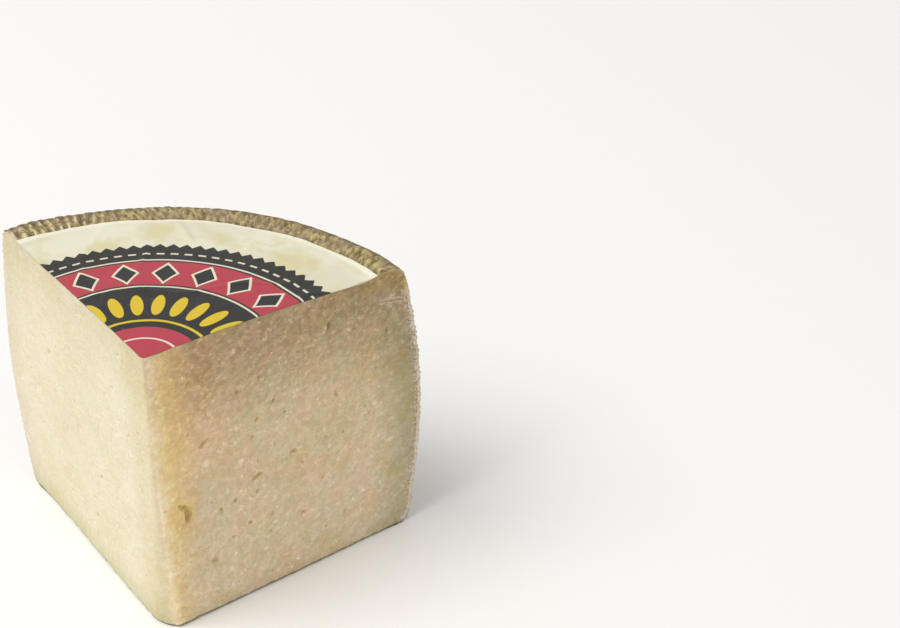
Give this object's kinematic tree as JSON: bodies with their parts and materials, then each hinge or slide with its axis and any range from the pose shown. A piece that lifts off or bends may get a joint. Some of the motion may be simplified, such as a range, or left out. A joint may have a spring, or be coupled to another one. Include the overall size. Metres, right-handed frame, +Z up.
{
  "type": "cheese wedge",
  "caption": "Quarter wedge of a pressed, cured sheep's milk cheese with a plaited-mat rind and a round paper label cut through on top.",
  "frame": {"origin": "on the surface it stands on, under the middle of its bounding box", "axes": "+Z up, +X to the right along the wedge's greatest width, -Y towards the front edge where the two cut faces meet, +Y towards the rind"},
  "size_m": [0.149, 0.1066, 0.1095],
  "materials": {
    "paste_and_rind": "waxy, close-textured ivory paste with small eyes, under a dry brown-grey rind with a herringbone relief",
    "label_paper": "thin printed paper, glued down, slightly wavy and stained by the cheese"
  },
  "bodies": {
    "root": {"cheese": "paste_and_rind", "label": "label_paper"}
  },
  "joints": []
}
